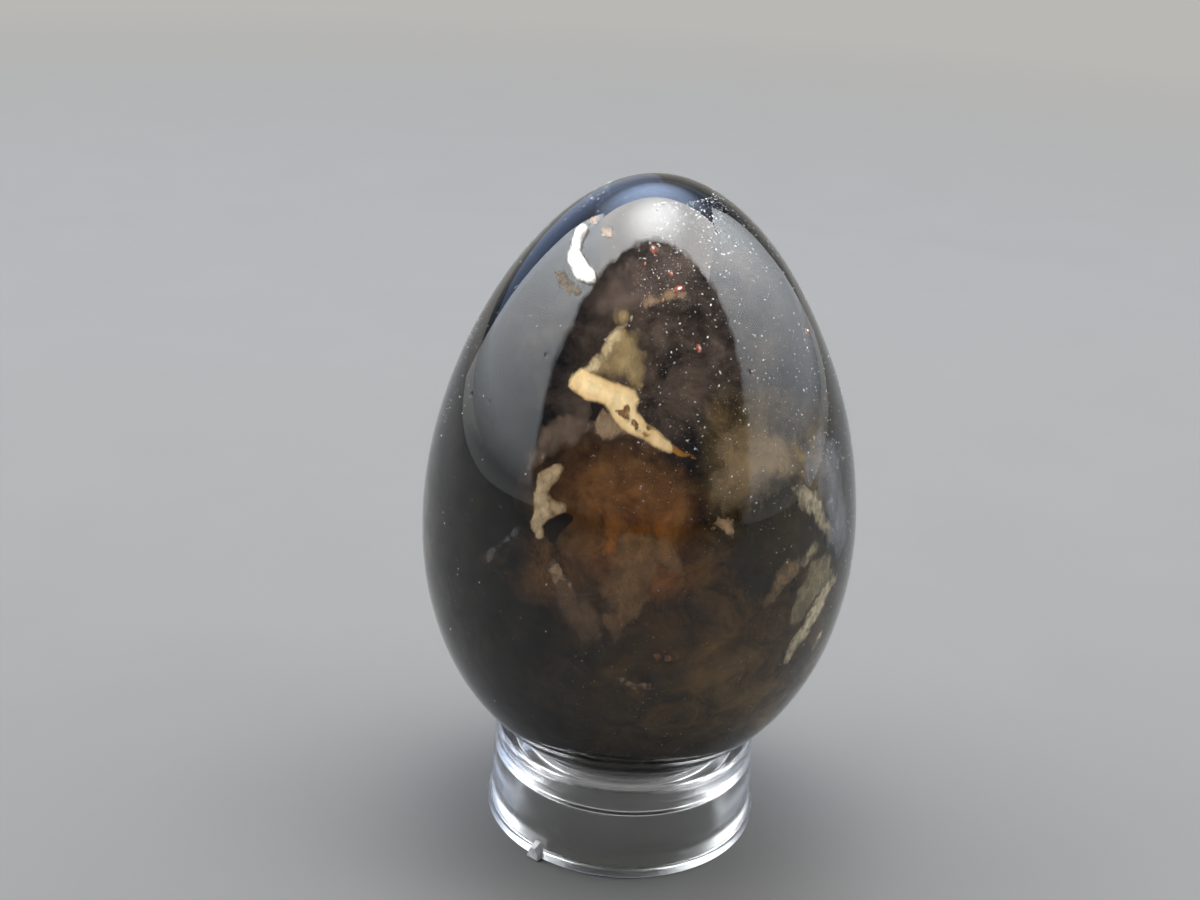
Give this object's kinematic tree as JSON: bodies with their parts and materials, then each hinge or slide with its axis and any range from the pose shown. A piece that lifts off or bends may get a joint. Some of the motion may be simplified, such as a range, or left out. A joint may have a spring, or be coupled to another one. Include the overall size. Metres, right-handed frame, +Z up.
{
  "type": "decorative egg on stand",
  "caption": "Polished dark stone egg with pale mineral veins, resting blunt end down in a small clear moulded ring that it lifts out of.",
  "frame": {"origin": "middle of the ring's flat foot, on the surface that it stands on", "axes": "+Z up through the ring and both poles of the egg, -Y to the front, +X to the right seen from the front"},
  "size_m": [0.035, 0.035, 0.0551],
  "materials": {
    "smoky_stone": "polished",
    "cream_mineral": "polished",
    "white_mineral": "polished",
    "tan_mineral": "polished",
    "clear_plastic": "gloss"
  },
  "bodies": {
    "stand": {"stand_ring": "clear_plastic"},
    "egg": {"stone_egg": "smoky_stone", "cream_vein": "cream_mineral", "crown_vein": "white_mineral", "side_flake": "tan_mineral"}
  },
  "joints": [
    {"name": "egg_lift", "type": "slide", "parent": "stand", "child": "egg", "axis": [0, 0, 1], "range_m": [0, 0.012]}
  ]
}
